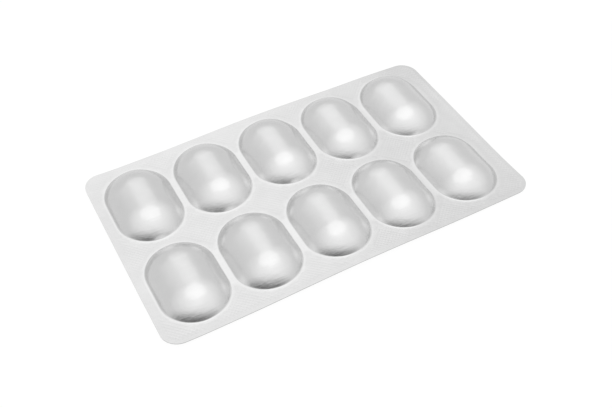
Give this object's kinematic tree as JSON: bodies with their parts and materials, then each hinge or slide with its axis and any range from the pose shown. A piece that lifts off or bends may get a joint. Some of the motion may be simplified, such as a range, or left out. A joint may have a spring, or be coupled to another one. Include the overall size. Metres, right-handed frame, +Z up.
{
  "type": "pill blister pack",
  "caption": "Sealed foil blister pack of domed, round-ended tablet pockets pressed up from a flat sealed sheet.",
  "frame": {"origin": "under the middle of the sheet's outline, at the table that the pack lies on", "axes": "+X along the pack, +Y across it along the pockets, +Z up out of the lidding towards the domes"},
  "size_m": [0.11, 0.0636, 0.0067],
  "materials": {
    "satin_foil": "satin, with a fine sealing knurl on the flange"
  },
  "bodies": {
    "root": {"blister_pack": "satin_foil"}
  },
  "joints": []
}
